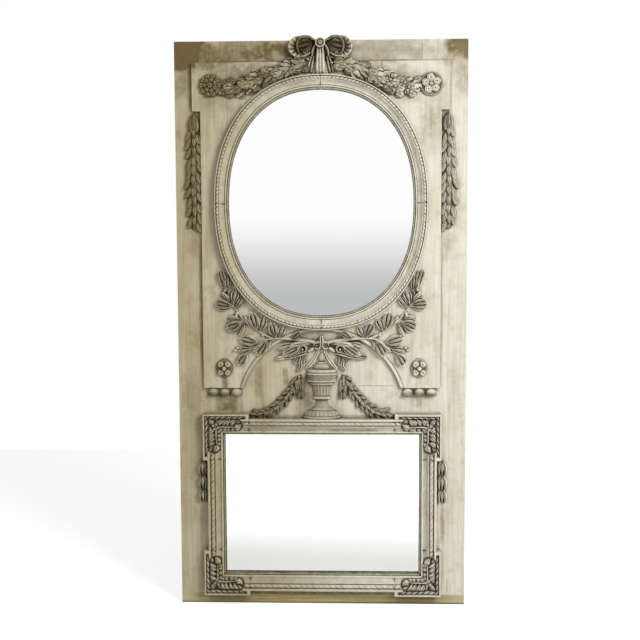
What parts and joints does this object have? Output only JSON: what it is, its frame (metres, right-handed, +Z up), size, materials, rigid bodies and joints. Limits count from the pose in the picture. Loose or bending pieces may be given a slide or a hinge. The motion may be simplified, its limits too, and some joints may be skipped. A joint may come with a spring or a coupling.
{
  "type": "trumeau mirror",
  "caption": "Tall painted trumeau panel with an oval mirror above a framed rectangular mirror and carved garlands, bow, branches and urn.",
  "frame": {"origin": "middle of the bottom face of the plinth board", "axes": "+Z up, +X to the right seen from the front, the mirrors face -Y and the wall is at +Y"},
  "size_m": [1.02, 0.0892, 2.013],
  "materials": {
    "ground_paint": "aged cream paint on wood, worn and stained",
    "field_paint": "aged cream paint on wood, slightly lighter",
    "frame_paint": "aged cream paint with dirt in the carved bands",
    "carving_paint": "aged cream paint rubbed from the high points, brown dirt in the hollows",
    "plinth_paint": "dull olive paint, scuffed",
    "raw_wood": "bare darkened softwood",
    "silvered_glass": "silvered plate glass",
    "steel": "dull steel"
  },
  "bodies": {
    "root": {"plinth_board": "plinth_paint", "stile_left": "ground_paint", "stile_right": "ground_paint", "bottom_rail": "ground_paint", "mid_rail": "ground_paint", "arch_panel": "ground_paint", "top_rail": "ground_paint", "batten_top": "raw_wood", "batten_middle": "raw_wood", "batten_bottom": "raw_wood", "field_left": "field_paint", "field_right": "field_paint", "field_head": "field_paint", "oval_frame_bottom_left": "frame_paint", "oval_frame_bottom_right": "frame_paint", "oval_frame_top_left": "frame_paint", "oval_frame_top_right": "frame_paint", "oval_mirror_plate": "silvered_glass", "oval_back_board": "raw_wood", "rect_frame_top": "frame_paint", "rect_frame_bottom": "frame_paint", "rect_frame_left": "frame_paint", "rect_frame_right": "frame_paint", "rect_mirror_plate": "silvered_glass", "rect_back_board": "raw_wood", "frame_corner_top_left": "carving_paint", "frame_corner_top_right": "carving_paint", "frame_corner_bottom_left": "carving_paint", "frame_corner_bottom_right": "carving_paint", "bow_tie": "carving_paint", "bow_loop_left": "carving_paint", "bow_loop_right": "carving_paint", "laurel_garland_left": "carving_paint", "laurel_garland_right": "carving_paint", "top_rosette_left": "carving_paint", "top_rosette_right": "carving_paint", "side_garland_left": "carving_paint", "side_garland_right": "carving_paint", "foot_rosette_left": "carving_paint", "foot_rosette_right": "carving_paint", "guttae_left": "carving_paint", "guttae_right": "carving_paint", "frame_husk_left": "carving_paint", "frame_husk_right": "carving_paint", "urn_foot": "carving_paint", "urn_bowl": "carving_paint", "urn_lid": "carving_paint", "swag_left": "carving_paint", "swag_right": "carving_paint", "husk_drop_left": "carving_paint", "husk_drop_right": "carving_paint", "ribbon_knot": "carving_paint", "ribbon_tail_left": "carving_paint", "ribbon_tail_right": "carving_paint", "branch_left": "carving_paint", "branch_right": "carving_paint", "hanging_plate_left": "steel", "hanging_plate_right": "steel", "hanging_screw_left": "steel", "hanging_screw_right": "steel"}
  },
  "joints": []
}
